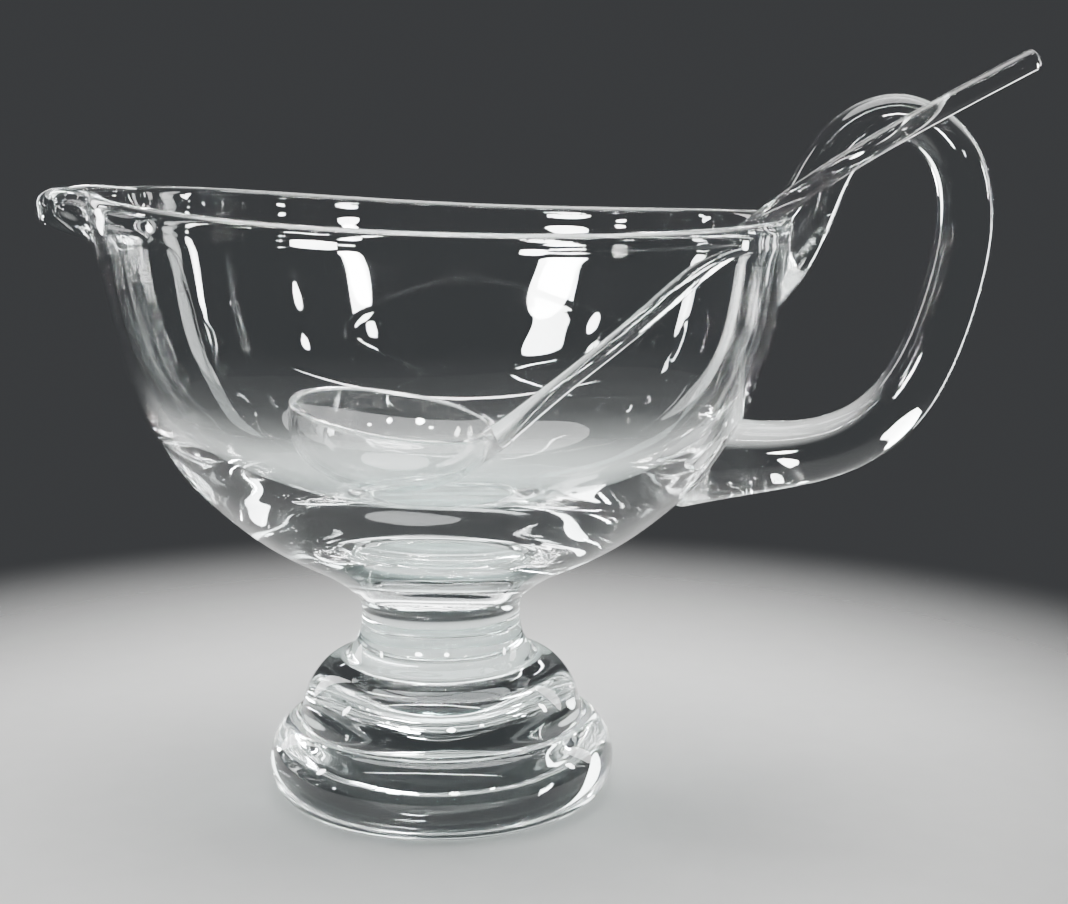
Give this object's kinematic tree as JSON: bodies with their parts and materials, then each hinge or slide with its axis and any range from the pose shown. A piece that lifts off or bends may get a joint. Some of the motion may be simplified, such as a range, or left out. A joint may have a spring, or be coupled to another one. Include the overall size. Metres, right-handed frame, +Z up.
{
  "type": "punch bowl",
  "caption": "Clear glass sauce-boat-shaped punch bowl with a pouring lip, loop handle and solid stepped foot, and a loose glass ladle resting in it.",
  "frame": {"origin": "centre of the foot's flat ground underside, which stands on the table", "axes": "+Z up along the axis of the stem and foot, +X from the pouring lip towards the handle, +Y across the bowl, away from the side on which the ladle's rod lies"},
  "size_m": [0.3485, 0.1848, 0.2663],
  "materials": {
    "bowl_glass": "clear blown and pressed glass, fire-polished, with a faint blue-green tint in its thick parts",
    "ladle_glass": "clear thin blown glass cup on a drawn solid rod, fire-polished"
  },
  "bodies": {
    "bowl": {"bowl": "bowl_glass", "stem": "bowl_glass", "foot": "bowl_glass", "handle": "bowl_glass"},
    "ladle": {"ladle_cup": "ladle_glass", "ladle_rod": "ladle_glass"}
  },
  "joints": [
    {"name": "ladle_lift", "type": "slide", "parent": "bowl", "child": "ladle", "axis": [0, 0, 1], "range_m": [0, 0.22]}
  ]
}
